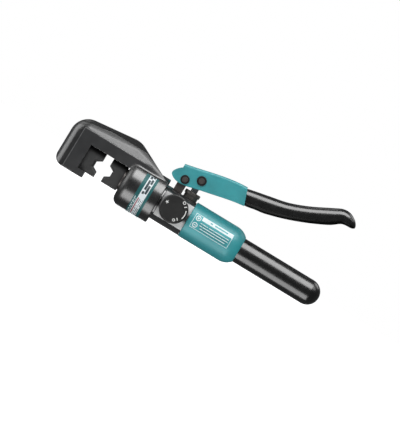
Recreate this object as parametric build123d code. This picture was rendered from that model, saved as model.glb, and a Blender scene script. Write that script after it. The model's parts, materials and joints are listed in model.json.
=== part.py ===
from build123d import *
import os
from math import cos, radians, sin

# Hydraulic hand crimping tool for cable lugs, in millimetres.
# +X runs along the ram axis from the C-shaped head to the end of the fixed handle, +Z points to the
# pump lever, and the release knob faces -Y. The origin is on the ram axis at the fixed die's parting face.

# ---- driving dimensions: C-shaped head and cylinder
HEAD_FRONT_X = -43.5
HEAD_HALF_WIDTH = 14.0
HEAD_CREASE_X = -31.5        # the side faces start to bevel towards the front here
HEAD_CREASE_Z = 25.2         # and towards the top here
TOP_BEVEL = [(9.9, 35.0), (4.0, 40.5), (3.0, 43.0)]      # half width and height, above the crease
FRONT_BEVEL = [(-36.5, 12.6), (-44.5, 7.4)]              # x and half width, ahead of the crease
HEAD_RIM_ROUND = 13.0
HEAD_BOTTOM_Z = -19.8
CROWN_Z = 34.2               # height of the front corner before it is rounded
CROWN_RADIUS = 19.0
PEAK_X = 23.2
PEAK_Z = 41.95
PEAK_RADIUS = 22.0
SLOPE_END_X = 66.8
SLOPE_END_Z = 20.2
RIM_SLOPE = 0.30             # flatter than the slope itself, so the rounding fades out along it
THROAT_TOP_Z = 13.5
LIP_END_X = -10.0
BARREL_RADIUS = 24.6
BARREL_FRONT_X = 27.5
BARREL_REAR_X = 68.5
BARREL_FRONT_ROUND = 7.0
BORE_RADIUS = 16.5
BORE_FRONT_X = 32.0
WEB_FILLET = 2.5
BAND_FRONT_X = 45.0          # printed band round the barrel
BAND_REAR_X = 59.0
SWIVEL_RING_X = 65.0         # wire ring that keeps the head on the spigot

# ---- dies
DIE_HALF_WIDTH = 9.0
DIE_HALF_HEIGHT = 13.25
FIXED_DIE_BACK_X = -17.5
DIE_GAP = 9.0
MOVING_DIE_BACK_X = 25.8
HEX_SIDE = 6.0
HEX_CENTRE_Z = -1.2
HEX_CHAMFER = 1.8
STUB_RADIUS = 4.0

# ---- ram
ROD_RADIUS = 9.0
PISTON_FRONT_X = 50.0
PISTON_REAR_X = 58.0

# ---- pump body
BLOCK_RADIUS = 19.0
BLOCK_REAR_X = 102.5
SPIGOT_FRONT_X = 59.0
FLAT_Y = -13.4               # milled face behind the release knob
BOSS_RADIUS = 15.0
BOSS_REAR_X = 120.0
SEAT_Z = 17.9                # flat top of the block under the clevis and the gland nut
OIL_Z = -5.0                 # height of the suction and delivery passages
CHAMBER_FLOOR_Z = -8.0
NIPPLE_RADIUS = 8.5          # nipple that the bladder's neck is clamped on
VALVE_BORE_RADIUS = 2.6      # suction and delivery valves
BALL_RADIUS = 1.8
PORT_RADIUS = 1.2
RELIEF_X = 76.5              # overload valve, opened from the back
SPINDLE_RADIUS = 3.0
BUSH_RADIUS = 6.0

# ---- release knob
KNOB_X = 85.7
KNOB_Z = 1.3
KNOB_RADIUS = 14.6
KNOB_BACK_Y = -15.2
KNOB_FACE_Y = -27.0
KNOB_FLUTES = 44

# ---- pump lever linkage
PIN_A_X = 80.0               # fulcrum of the lever
PIN_A_Z = 32.2
PIN_B_X = 95.0               # pin that lifts and pushes the plunger
PIN_B_Z = 39.5
PIN_RADIUS = 3.0
FORK_HALF_WIDTH = 10.5
FORK_INNER_HALF = 7.5
FORK_WEB = 3.0
GRIP_HALF_WIDTH = 9.8
GRIP_FILLET = 4.0
POST_HALF_WIDTH = 7.2
POST_GAP_HALF = 3.6
POST_FRONT_X = 74.7
POST_REAR_X = 84.0
POST_PIN_X = 79.5
POST_PIN_Z = 21.4
GLAND_RADIUS = 8.4
GLAND_FLUTES = 26
PLUNGER_X = 93.8
PLUNGER_RADIUS = 3.5
PLUNGER_BOTTOM_Z = -0.3

# ---- sleeve and fixed handle
SLEEVE_RADIUS = 19.4
SLEEVE_REAR_X = 162.5
SLEEVE_ROUND = 12.5
HANDLE_RADIUS = 13.2
HANDLE_END_X = 255.5
HANDLE_NECK_RADIUS = 12.9    # thinner stretch of the handle inside the sleeve
TUBE_RADIUS = 11.5
TUBE_BORE_RADIUS = 10.2
TUBE_REAR_X = 238.0
BAG_RADIUS = 9.6             # oil bladder
BAG_WALL = 1.0
LABEL_FRONT_X = 106.5
LABEL_REAR_X = 151.5
LABEL_BOTTOM_Z = -5.6
LABEL_TOP_Z = 10.6

RUNNING = 0.05               # radial clearance of a running fit
SEATED = 0.02                # gap between pieces that are pressed or screwed together


# ---------------------------------------------------------------- helpers
def along_x(radius, x0, x1, y=0.0, z=0.0):
    rod = Cylinder(radius, x1 - x0, align=(Align.CENTER, Align.CENTER, Align.MIN))
    return Pos(x0, y, z) * Rot(0, 90, 0) * rod


def along_y(radius, y0, y1, x, z):
    rod = Cylinder(radius, y1 - y0, align=(Align.CENTER, Align.CENTER, Align.MIN))
    return Pos(x, y0, z) * Rot(-90, 0, 0) * rod


def along_z(radius, z0, z1, x, y=0.0):
    rod = Cylinder(radius, z1 - z0, align=(Align.CENTER, Align.CENTER, Align.MIN))
    return Pos(x, y, z0) * rod


def block(x0, x1, y0, y1, z0, z1):
    middle = Pos((x0 + x1) / 2, (y0 + y1) / 2, (z0 + z1) / 2)
    return middle * Box(x1 - x0, y1 - y0, z1 - z0)


def polygon_face(points):
    return make_face(Polyline(*points, close=True))


def side_plate(face, half_width):
    """Extrude a face drawn in (x, z) to both sides of the middle plane."""
    return extrude(Plane.XZ * face, amount=half_width, both=True)


def turned(points):
    """Revolve a profile of (x, radius) points about the ram axis."""
    return revolve(Plane.XZ * polygon_face(points), Axis.X)


def coil(mean_radius, wire_radius, length, turns):
    """Compression spring on +Z from z = 0 to z = length."""
    height = length - 2 * wire_radius
    path = Helix(pitch=height / turns, height=height, radius=mean_radius)
    section = Plane(origin=path @ 0, z_dir=path % 0) * Circle(wire_radius)
    return Pos(0, 0, wire_radius) * sweep(section, path)


def coil_along_x(x0, x1, mean_radius, wire_radius, turns, z=0.0):
    return Pos(x0, 0, z) * Rot(0, 90, 0) * coil(mean_radius, wire_radius, x1 - x0, turns)


def torus_on_x(x, major_radius, minor_radius):
    return Pos(x, 0, 0) * Rot(0, 90, 0) * Torus(major_radius, minor_radius)


def socket_screw(radius, length, hex_across):
    """Grub screw on +Z from z = 0 to z = length, hexagon socket in its top."""
    body = Cylinder(radius, length, align=(Align.CENTER, Align.CENTER, Align.MIN))
    depth = min(0.45 * length, 1.2 * hex_across)
    key = extrude(RegularPolygon(hex_across / 2, 6, major_radius=False), amount=depth)
    return body - Pos(0, 0, length - depth) * key


# ---------------------------------------------------------------- C-shaped head
def outer_corner(face, x, z, radius):
    """Round the corner of a flat face that lies nearest to (x, z)."""
    corner = min(face.vertices(), key=lambda v: abs(v.X - x) + abs(v.Y - z))
    return fillet(corner, radius)


def head_outline():
    """Side view of the C and of the web that runs back along the barrel, in (x, z)."""
    face = polygon_face([
        (HEAD_FRONT_X, HEAD_BOTTOM_Z), (HEAD_FRONT_X, CROWN_Z), (PEAK_X, PEAK_Z),
        (SLOPE_END_X, SLOPE_END_Z), (SLOPE_END_X, THROAT_TOP_Z), (FIXED_DIE_BACK_X, THROAT_TOP_Z),
        (FIXED_DIE_BACK_X, -DIE_HALF_HEIGHT), (LIP_END_X, -DIE_HALF_HEIGHT), (LIP_END_X, HEAD_BOTTOM_Z),
    ])
    face = outer_corner(face, HEAD_FRONT_X, HEAD_BOTTOM_Z, 10.5)
    face = outer_corner(face, HEAD_FRONT_X, CROWN_Z, CROWN_RADIUS)
    return outer_corner(face, PEAK_X, PEAK_Z, PEAK_RADIUS)


def rounded_rim():
    """Body with the head's outer contour and wide rounds, used to trim the C plate."""
    drop = 30.0
    contour = polygon_face([
        (HEAD_FRONT_X, HEAD_BOTTOM_Z - drop), (HEAD_FRONT_X, CROWN_Z), (PEAK_X, PEAK_Z),
        (SLOPE_END_X + drop, PEAK_Z - (SLOPE_END_X + drop - PEAK_X) * RIM_SLOPE),
        (SLOPE_END_X + drop, HEAD_BOTTOM_Z - drop),
    ])
    contour = outer_corner(contour, HEAD_FRONT_X, CROWN_Z, CROWN_RADIUS)
    contour = outer_corner(contour, PEAK_X, PEAK_Z, PEAK_RADIUS)
    body = side_plate(contour, HEAD_HALF_WIDTH)
    rims = []
    for edge in body.edges():
        flat = abs((edge @ 0).Y - (edge @ 1).Y) < 0.01
        bottom = (edge @ 0.5).Z < HEAD_BOTTOM_Z - drop + 0.1
        rear = (edge @ 0.5).X > SLOPE_END_X + drop - 0.1
        if flat and not bottom and not rear:
            rims.append(edge)
    return fillet(rims, HEAD_RIM_ROUND)


def head_frame():
    """The C plate with its side faces bevelled in steps towards the top and the front."""
    below = [(HEAD_HALF_WIDTH, -30), (HEAD_HALF_WIDTH, HEAD_CREASE_Z)]
    across = mirrored(below + TOP_BEVEL)
    front = [(HEAD_CREASE_X, HEAD_HALF_WIDTH)] + FRONT_BEVEL
    plan = polygon_face(
        [(80, -HEAD_HALF_WIDTH), (80, HEAD_HALF_WIDTH)] + front + [(x, -y) for x, y in reversed(front)]
    )
    plate = side_plate(head_outline(), HEAD_HALF_WIDTH) & rounded_rim()
    plate = plate & extrude(Plane.YZ.offset(-60) * across, amount=150)
    return plate & extrude(Plane.XY.offset(-30) * plan, amount=90)


def mirrored(half):
    """Closed face from one half of its outline, given as (y, z), and that half's mirror image in y."""
    return polygon_face(half + [(-y, z) for y, z in reversed(half)])


def crimp_head():
    barrel = along_x(BARREL_RADIUS, BARREL_FRONT_X, BARREL_REAR_X)
    barrel = fillet(barrel.edges().sort_by(Axis.X)[0], BARREL_FRONT_ROUND)
    rear_edge = [e for e in barrel.edges() if e.center().X > BARREL_REAR_X - 0.1]
    barrel = fillet(rear_edge, 1.0)
    head = head_frame() + barrel
    junction = [edge for edge in head.edges() if is_web_junction(edge)]
    head = fillet(junction, WEB_FILLET)
    head -= along_x(BORE_RADIUS, BORE_FRONT_X, BARREL_REAR_X + 1)
    head -= along_x(ROD_RADIUS + RUNNING, BARREL_FRONT_X - 1, BORE_FRONT_X + 1)
    head -= along_x(BORE_RADIUS + 1.2, SWIVEL_RING_X - 1.2, SWIVEL_RING_X + 1.2)
    head -= along_x(STUB_RADIUS + SEATED, -25.0, FIXED_DIE_BACK_X + 1)
    head -= along_z(2.0 + SEATED, HEAD_BOTTOM_Z - 1, 0, -21.0)
    return head


def is_web_junction(edge):
    middle = edge @ 0.5
    on_side = abs(abs(middle.Y) - HEAD_HALF_WIDTH) < 0.05
    return on_side and THROAT_TOP_Z + 1 < middle.Z < 21 and BARREL_FRONT_X < middle.X < 66


def hex_cavity(parting_x, sign):
    """Half-hexagon prism cut into a die; sign is the side of the parting face that the die is on."""
    depth = HEX_SIDE * sin(radians(60))
    points = [
        (parting_x - sign, HEX_CENTRE_Z + HEX_SIDE),
        (parting_x, HEX_CENTRE_Z + HEX_SIDE),
        (parting_x + sign * depth, HEX_CENTRE_Z + HEX_SIDE / 2),
        (parting_x + sign * depth, HEX_CENTRE_Z - HEX_SIDE / 2),
        (parting_x, HEX_CENTRE_Z - HEX_SIDE),
        (parting_x - sign, HEX_CENTRE_Z - HEX_SIDE),
    ]
    return side_plate(polygon_face(points), DIE_HALF_WIDTH + 1)


def die(back_x, parting_x):
    """Die block with its half-hexagon cavity, chamfered where the lug goes in."""
    x0, x1 = sorted((back_x, parting_x))
    sign = 1 if back_x > parting_x else -1
    body = block(x0, x1, -DIE_HALF_WIDTH, DIE_HALF_WIDTH, -DIE_HALF_HEIGHT, DIE_HALF_HEIGHT)
    body -= hex_cavity(parting_x, sign)
    mouth = []
    for edge in body.edges():
        middle = edge @ 0.5
        on_face = abs((edge @ 0).Y - (edge @ 1).Y) < 0.01
        in_cavity = 0.5 < sign * (middle.X - parting_x) < HEX_SIDE
        if on_face and in_cavity and abs(middle.Z - HEX_CENTRE_Z) < HEX_SIDE:
            mouth.append(edge)
    return chamfer(mouth, HEX_CHAMFER)


def fixed_die():
    body = die(FIXED_DIE_BACK_X, 0.0)
    return body + along_x(STUB_RADIUS, -24.5, FIXED_DIE_BACK_X + 1)


def fixed_die_screw():
    screw = socket_screw(2.0, 9.0, 2.0)
    return Pos(-21.0, 0, -STUB_RADIUS - 0.1) * Rot(180, 0, 0) * screw


def moving_die():
    body = die(MOVING_DIE_BACK_X, DIE_GAP)
    return body + along_x(STUB_RADIUS, MOVING_DIE_BACK_X - 1, 31.0)


def die_holder():
    """Round pad on the front of the ram that the moving die seats on."""
    pad = along_x(11.5, MOVING_DIE_BACK_X, BARREL_FRONT_X - 0.3)
    return pad - along_x(STUB_RADIUS + SEATED, MOVING_DIE_BACK_X - 1, BARREL_FRONT_X)


def ram():
    rod_front = BARREL_FRONT_X - 0.3
    body = turned([
        (rod_front, 0), (rod_front, ROD_RADIUS), (PISTON_FRONT_X, ROD_RADIUS),
        (PISTON_FRONT_X, BORE_RADIUS - RUNNING), (52.4, BORE_RADIUS - RUNNING),
        (52.4, 14.0), (55.6, 14.0), (55.6, BORE_RADIUS - RUNNING),
        (PISTON_REAR_X, BORE_RADIUS - RUNNING), (PISTON_REAR_X, 0),
    ])
    return body - along_x(STUB_RADIUS + SEATED, rod_front - 1, 31.5)


def piston_seal():
    return along_x(BORE_RADIUS - 0.03, 52.5, 55.5) - along_x(14.0 + SEATED, 52, 56)


def return_spring():
    return coil_along_x(BORE_FRONT_X + 0.1, PISTON_FRONT_X - 0.1, 12.7, 1.2, 3.5)


def head_label_band():
    """Printed band round the barrel, open where the web of the head is in the way."""
    band = along_x(BARREL_RADIUS + 0.25, BAND_FRONT_X, BAND_REAR_X)
    band -= along_x(BARREL_RADIUS + SEATED, BAND_FRONT_X - 1, BAND_REAR_X + 1)
    return band - block(BAND_FRONT_X - 1, BAND_REAR_X + 1, -17.0, 17.0, 0, 40)


# ---------------------------------------------------------------- pump body and its valves
def pump_body():
    """Valve block with a spigot that carries the swivelling head and a boss that carries the handle."""
    spigot_radius = BORE_RADIUS - RUNNING
    body = turned([
        (SPIGOT_FRONT_X, 0), (SPIGOT_FRONT_X, spigot_radius), (60.4, spigot_radius),
        (60.4, 14.4), (62.6, 14.4), (62.6, spigot_radius), (SWIVEL_RING_X - 1.2, spigot_radius),
        (SWIVEL_RING_X - 1.2, 15.2), (SWIVEL_RING_X + 1.2, 15.2),
        (SWIVEL_RING_X + 1.2, spigot_radius), (BARREL_REAR_X + 0.1, spigot_radius),
        (BARREL_REAR_X + 0.1, BLOCK_RADIUS), (BLOCK_REAR_X, BLOCK_RADIUS),
        (BLOCK_REAR_X, BOSS_RADIUS), (BOSS_REAR_X, BOSS_RADIUS), (BOSS_REAR_X, 0),
    ])
    body -= side_flat()
    body -= block(POST_FRONT_X - 0.2, BLOCK_REAR_X + 1, -BLOCK_RADIUS, BLOCK_RADIUS, SEAT_Z, 30)
    tongue_half = POST_GAP_HALF - RUNNING
    body += block(POST_FRONT_X, POST_REAR_X - 0.4, -tongue_half, tongue_half, SEAT_Z - 2, 24.4)
    body -= along_y(2.5 + SEATED, -tongue_half - 1, tongue_half + 1, POST_PIN_X, POST_PIN_Z)
    body -= gland_bore()
    body -= suction_line()
    body -= delivery_line()
    body -= release_bore()
    body -= relief_bore()
    return body


def side_flat():
    """Milled flat behind the knob, with a sloping run-out at its front end."""
    plan = polygon_face([(67.3, -25), (70.6, FLAT_Y), (BLOCK_REAR_X, FLAT_Y), (BLOCK_REAR_X, -25)])
    return extrude(Plane.XY.offset(-30) * plan, amount=60)


def gland_bore():
    nut = along_z(6.5, 8.0, 30, PLUNGER_X)
    packing = along_z(5.6, 5.0, 9, PLUNGER_X)
    barrel = along_z(PLUNGER_RADIUS + RUNNING, CHAMBER_FLOOR_Z, 9, PLUNGER_X)
    return nut + packing + barrel


def suction_line():
    """Socket for the reservoir tube with its nipple, and the passage from there to the pump chamber."""
    socket = along_x(TUBE_RADIUS + SEATED, 108, BOSS_REAR_X + 1)
    nipple = along_x(NIPPLE_RADIUS, 107, 117) - along_x(NIPPLE_RADIUS - 0.9, 106, 118)
    valve = along_x(VALVE_BORE_RADIUS, 98.2, 109, z=OIL_Z)
    port = along_x(PORT_RADIUS, 95, 99, z=OIL_Z)
    return (socket - nipple) + valve + port


def delivery_line():
    """Passage from the pump chamber forward to the cylinder, wide enough for the delivery valve."""
    valve = along_x(VALVE_BORE_RADIUS, SPIGOT_FRONT_X - 1, 88, z=OIL_Z)
    return valve + along_x(PORT_RADIUS, 87, 93, z=OIL_Z)


def release_bore():
    """Bore for the release spindle, its port down to the delivery line and its drain to the reservoir."""
    bush = along_y(BUSH_RADIUS, -20, -6.2, KNOB_X, KNOB_Z)
    spindle = along_y(SPINDLE_RADIUS + RUNNING, -7, 2.0, KNOB_X, KNOB_Z)
    seat_port = along_y(1.0, 1, 6.2, KNOB_X, KNOB_Z)
    drop = along_z(0.8, OIL_Z - 0.3, KNOB_Z + 0.3, KNOB_X, 5.0)
    link = along_y(1.1, 1, 6.0, KNOB_X, OIL_Z)
    drain = along_x(0.9, KNOB_X + 1, 109, y=-5.0, z=KNOB_Z)
    return bush + spindle + seat_port + drop + link + drain


def relief_bore():
    """Overload valve, opened from the back of the block."""
    return along_y(3.2, 4.0, 25, RELIEF_X, OIL_Z) + along_y(1.0, 1, 5, RELIEF_X, OIL_Z)


def suction_ball():
    return Pos(101.95, 0, OIL_Z) * Sphere(BALL_RADIUS)


def suction_spring():
    return coil_along_x(98.3, 100.1, 1.5, 0.25, 2, z=OIL_Z)


def suction_seat():
    seat = along_x(VALVE_BORE_RADIUS - SEATED, 103.4, 107.0, z=OIL_Z)
    cone = Cone(2.0, 0.9, 1.2, align=(Align.CENTER, Align.CENTER, Align.MIN))
    mouth = Pos(103.4, 0, OIL_Z) * Rot(0, 90, 0) * cone
    return seat - along_x(0.9, 101, 108, z=OIL_Z) - mouth


def delivery_ball():
    return Pos(86.1, 0, OIL_Z) * Sphere(BALL_RADIUS)


def delivery_spring():
    return coil_along_x(79.6, 84.2, 1.6, 0.3, 4, z=OIL_Z)


def delivery_screw():
    screw = along_x(VALVE_BORE_RADIUS - SEATED, 75.6, 79.4, z=OIL_Z)
    return screw - along_x(PORT_RADIUS, 71, 80, z=OIL_Z)


def relief_ball():
    return Pos(RELIEF_X, 5.9, OIL_Z) * Sphere(BALL_RADIUS)


def relief_spring():
    return Pos(RELIEF_X, 7.8, OIL_Z) * Rot(-90, 0, 0) * coil(2.2, 0.45, 4.6, 3.5)


def relief_screw():
    screw = socket_screw(3.18, 4.4, 3.0)
    return Pos(RELIEF_X, 12.5, OIL_Z) * Rot(-90, 0, 0) * screw


def swivel_ring():
    return torus_on_x(SWIVEL_RING_X, BORE_RADIUS, 0.75)


def swivel_oring():
    return torus_on_x(61.5, 15.42, 0.98)


# ---------------------------------------------------------------- release knob
def spindle_bush():
    bush = along_y(BUSH_RADIUS - SEATED, FLAT_Y - 1.0, -6.25, KNOB_X, KNOB_Z)
    return bush - along_y(SPINDLE_RADIUS + RUNNING, -30, 0, KNOB_X, KNOB_Z)


def release_spindle():
    shank = along_y(SPINDLE_RADIUS, -25.0, 0.0, KNOB_X, KNOB_Z)
    cone = Cone(SPINDLE_RADIUS, 1.0, 1.9, align=(Align.CENTER, Align.CENTER, Align.MIN))
    tip = Pos(KNOB_X, 0, KNOB_Z) * Rot(-90, 0, 0) * cone
    groove = along_y(4, -4.9, -3.1, KNOB_X, KNOB_Z) - along_y(2.1, -6, -2, KNOB_X, KNOB_Z)
    return shank + tip - groove


def spindle_oring():
    return Pos(KNOB_X, -4.0, KNOB_Z) * Rot(90, 0, 0) * Torus(2.58, 0.46)


def valve_knob():
    """Round grip with shallow flutes, bored from the back for the spindle."""
    knob = along_y(KNOB_RADIUS, KNOB_FACE_Y, KNOB_BACK_Y, KNOB_X, KNOB_Z)
    face_edge = knob.edges().sort_by(Axis.Y)[0]
    knob = chamfer(face_edge, 1.2)
    cutters = []
    for index in range(KNOB_FLUTES):
        angle = radians(360 * index / KNOB_FLUTES)
        reach = KNOB_RADIUS + 0.35
        x = KNOB_X + reach * cos(angle)
        z = KNOB_Z + reach * sin(angle)
        cutters.append(along_y(0.7, KNOB_FACE_Y + 2.4, KNOB_BACK_Y - 2.0, x, z))
    knob -= cutters
    knob -= along_y(SPINDLE_RADIUS + SEATED, -25.1, KNOB_BACK_Y + 1, KNOB_X, KNOB_Z)
    return knob - along_z(1.5 + SEATED, KNOB_Z - 16, KNOB_Z, KNOB_X, -20.5)


def knob_screw():
    screw = socket_screw(1.5, 8.0, 1.5)
    return Pos(KNOB_X, -20.5, KNOB_Z - 3.1) * Rot(180, 0, 0) * screw


# ---------------------------------------------------------------- lever, fulcrum and plunger
def fulcrum_post():
    """Clevis that straddles the block's tongue and carries the lever's fulcrum pin in its ears."""
    eye_radius = 5.0
    ear_top = PIN_A_Z
    cheek = block(POST_FRONT_X, POST_REAR_X, -POST_HALF_WIDTH, POST_HALF_WIDTH, SEAT_Z + SEATED, ear_top)
    cheek = cheek & along_z(9.0, 0, 60, (POST_FRONT_X + POST_REAR_X) / 2)
    eye = along_y(eye_radius, -POST_HALF_WIDTH, POST_HALF_WIDTH, PIN_A_X, PIN_A_Z)
    post = cheek + eye
    post -= block(70, 90, -POST_GAP_HALF, POST_GAP_HALF, 28.0, 50)
    post -= block(70, 90, -POST_GAP_HALF, POST_GAP_HALF, 0, 24.6)
    post -= along_y(2.5 + SEATED, -20, 20, POST_PIN_X, POST_PIN_Z)
    return post - along_y(PIN_RADIUS + SEATED, -20, 20, PIN_A_X, PIN_A_Z)


def post_pin():
    return along_y(2.5, -POST_HALF_WIDTH - 0.4, POST_HALF_WIDTH + 0.4, POST_PIN_X, POST_PIN_Z)


def fork_outline():
    """Side view of the lever fork in (x, z): rounded nose, step up to the web, slanted rear edge."""
    nose = Spline((85.5, 27.4), (76, 26.4), (68.5, 28.2), (65.1, 31.6), (66.6, 36.2), (72, 41.4))
    step = Line((72, 41.4), (72, 45.7))
    top = Spline((72, 45.7), (95, 51.0), (118, 56.0), (137.5, 58.0))
    rear = Line((137.5, 58.0), (144, 40.2))
    bottom = Spline((144, 40.2), (128, 37.6), (110.5, 33.6), (95, 30.0), (85.5, 27.4))
    return make_face([nose, step, top, rear, bottom])


def lever_fork():
    fork = side_plate(fork_outline(), FORK_HALF_WIDTH)
    shoulders = [e for e in fork.edges() if e.length > 50 and (e @ 0.5).Z > 48]
    fork = fillet(shoulders, 2.6)
    hollow = polygon_face([
        (60, 20), (60, 60), (72, 60), (72, 45.7 - FORK_WEB), (95, 51.0 - FORK_WEB),
        (118, 56.0 - FORK_WEB), (137.5, 58.0 - FORK_WEB), (150, 58.0 - FORK_WEB), (150, 20),
    ])
    fork -= side_plate(hollow, FORK_INNER_HALF)
    fork -= along_y(PIN_RADIUS + RUNNING, -20, 20, PIN_A_X, PIN_A_Z)
    return fork - along_y(PIN_RADIUS + SEATED, -20, 20, PIN_B_X, PIN_B_Z)


def pin_with_ends(x, z):
    return along_y(PIN_RADIUS, -FORK_HALF_WIDTH - 1.9, FORK_HALF_WIDTH + 1.9, x, z)


def pin_clips(x, z, radius):
    """Pair of push-on washers that hold a pin, one outside each cheek of the fork."""
    pair = []
    for side in (-1, 1):
        inner = side * (FORK_HALF_WIDTH + 0.15)
        outer = side * (FORK_HALF_WIDTH + 1.35)
        washer = along_y(radius, min(inner, outer), max(inner, outer), x, z)
        washer -= along_y(PIN_RADIUS + SEATED, -20, 20, x, z)
        pair.append(washer)
    return Compound(children=pair)


def lever_arm():
    """Flat steel bar that joins the fork to the grip."""
    bar = make_face([
        Spline((108, 39.5), (140, 46.0), (175, 52.5), (205, 64.0), (232, 77.5)),
        Line((232, 77.5), (228, 84.5)),
        Spline((228, 84.5), (201, 71.0), (172, 60.0), (138, 53.5), (106, 47.0)),
        Line((106, 47.0), (108, 39.5)),
    ])
    return side_plate(bar, 3.0)


def grip_outline():
    """Side view of the lever grip in (x, z), from the fork's slanted edge to the hooked tip."""
    front = Line((144.6, 40.4), (138.2, 57.2))
    upper = Spline(
        (138.2, 57.2), (160.5, 61.8), (180.5, 66.3), (200.5, 74.2), (220.5, 84.5), (230.5, 89.3),
        tangents=((1, 0.16), (1, 0.3)),
    )
    crown = Spline((230.5, 89.3), (238.5, 89.4), (246.0, 85.6), (250.3, 79.6), tangents=((1, 0.3), (0.25, -1)))
    tip = Spline((250.3, 79.6), (248.2, 77.0), (242.0, 76.4), (236.0, 75.0), tangents=((0.25, -1), (-1, -0.55)))
    lower = Spline(
        (236.0, 75.0), (226.0, 67.8), (210.5, 60.2), (190.5, 52.0), (170.5, 45.6), (144.6, 40.4),
        tangents=((-1, -0.55), (-1, -0.15)),
    )
    return make_face([front, upper, crown, tip, lower])


def lever_grip():
    grip = side_plate(grip_outline(), GRIP_HALF_WIDTH)
    rims = []
    for edge in grip.edges():
        in_side_face = abs((edge @ 0).Y - (edge @ 1).Y) < 0.01
        if in_side_face and (edge @ 0.5).X > 142:
            rims.append(edge)
    return fillet(rims, GRIP_FILLET) - lever_arm()


def plunger():
    """Pump plunger with a slotted eye, so that the lever's pin can swing sideways as it lifts."""
    front_x = 89.0
    rear_x = 96.7
    centre_z = PIN_B_Z - 0.22
    slot = stadium(front_x, rear_x, centre_z, PIN_RADIUS + 0.5)
    eye = side_plate(stadium(front_x, rear_x, centre_z, PIN_RADIUS + 3.0), POST_GAP_HALF - 0.3)
    stem = along_z(PLUNGER_RADIUS, PLUNGER_BOTTOM_Z, centre_z - 4, PLUNGER_X)
    return eye + stem - side_plate(slot, 10)


def stadium(x0, x1, z, radius):
    slot = SlotCenterToCenter(x1 - x0, 2 * radius)
    return Pos((x0 + x1) / 2, z) * slot


def packing_gland():
    """Knurled nut that holds the packing round the plunger."""
    collar = along_z(GLAND_RADIUS, 21.7, 25.6, PLUNGER_X)
    collar = fillet(collar.edges().filter_by(GeomType.CIRCLE), 0.8)
    flutes = []
    for index in range(GLAND_FLUTES):
        angle = radians(360 * index / GLAND_FLUTES)
        reach = GLAND_RADIUS + 0.25
        flutes.append(along_z(0.6, 21, 26.5, PLUNGER_X + reach * cos(angle), reach * sin(angle)))
    collar -= flutes
    neck = along_z(7.4, SEAT_Z + SEATED, 22, PLUNGER_X)
    thread = along_z(6.5 - SEATED, 9.1, 20, PLUNGER_X)
    return collar + neck + thread - along_z(PLUNGER_RADIUS + RUNNING, 0, 30, PLUNGER_X)


def gland_packing():
    ring = along_z(5.6 - SEATED, 5.1, 9.0, PLUNGER_X)
    return ring - along_z(PLUNGER_RADIUS + 0.03, 0, 30, PLUNGER_X)


# ---------------------------------------------------------------- sleeve, reservoir and fixed handle
def sleeve():
    """Moulded sleeve over the joint of the pump body and the handle, rounded down at its rear end."""
    shoulder_x = SLEEVE_REAR_X - SLEEVE_ROUND
    rear_radius = HANDLE_RADIUS + 0.6
    profile = make_face([
        Line((BLOCK_REAR_X + 0.1, BOSS_RADIUS + SEATED), (BLOCK_REAR_X + 0.1, SLEEVE_RADIUS - 0.6)),
        Line((BLOCK_REAR_X + 0.1, SLEEVE_RADIUS - 0.6), (BLOCK_REAR_X + 0.7, SLEEVE_RADIUS)),
        Line((BLOCK_REAR_X + 0.7, SLEEVE_RADIUS), (shoulder_x, SLEEVE_RADIUS)),
        ThreePointArc((shoulder_x, SLEEVE_RADIUS), (shoulder_x + 6.8, 17.9), (SLEEVE_REAR_X, rear_radius)),
        Polyline(
            (SLEEVE_REAR_X, rear_radius), (SLEEVE_REAR_X, HANDLE_NECK_RADIUS + SEATED),
            (BOSS_REAR_X + 0.1, HANDLE_NECK_RADIUS + SEATED), (BOSS_REAR_X + 0.1, BOSS_RADIUS + SEATED),
            (BLOCK_REAR_X + 0.1, BOSS_RADIUS + SEATED),
        ),
    ])
    return revolve(Plane.XZ * profile, Axis.X)


def sleeve_label():
    """Printed label on the knob side of the sleeve."""
    ring = along_x(SLEEVE_RADIUS + 0.2, LABEL_FRONT_X, LABEL_REAR_X)
    ring -= along_x(SLEEVE_RADIUS + SEATED, LABEL_FRONT_X - 1, LABEL_REAR_X + 1)
    return ring & block(LABEL_FRONT_X - 1, LABEL_REAR_X + 1, -30, 0, LABEL_BOTTOM_Z, LABEL_TOP_Z)


def reservoir_tube():
    tube = along_x(TUBE_RADIUS, 108.1, TUBE_REAR_X)
    return tube - along_x(TUBE_BORE_RADIUS, 107, TUBE_REAR_X + 1)


def reservoir_plug():
    plug = along_x(TUBE_BORE_RADIUS - SEATED, 228, TUBE_REAR_X - 0.5)
    groove = along_x(11, 231.4, 233.6) - along_x(8.4, 231, 234)
    return plug - groove


def plug_oring():
    return torus_on_x(232.5, 9.3, 0.86)


def oil_bladder():
    """Rubber oil bladder: a thin bag, open at its neck over the nipple of the pump body."""
    bag = along_x(BAG_RADIUS, 108.2, 226.5)
    bag = fillet(bag.edges().sort_by(Axis.X)[-1], 4.0)
    inside = along_x(BAG_RADIUS - BAG_WALL, 116, 225.3)
    inside = fillet(inside.edges().sort_by(Axis.X)[-1], 3.0)
    return bag - inside - along_x(NIPPLE_RADIUS + SEATED, 107, 118)


def bladder_clamp():
    clamp = along_x(TUBE_BORE_RADIUS - 0.05, 110.5, 115.5)
    return clamp - along_x(BAG_RADIUS + SEATED, 110, 116)


def handle_cover():
    """Glossy cover of the fixed handle, with a domed end."""
    dome_x = HANDLE_END_X - HANDLE_RADIUS
    cover = along_x(HANDLE_NECK_RADIUS, BOSS_REAR_X + 0.2, SLEEVE_REAR_X + 1)
    cover += along_x(HANDLE_RADIUS, SLEEVE_REAR_X, dome_x)
    cover += Pos(dome_x, 0, 0) * Sphere(HANDLE_RADIUS)
    return cover - along_x(TUBE_RADIUS + SEATED, BOSS_REAR_X - 20, TUBE_REAR_X + 0.5)


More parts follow.
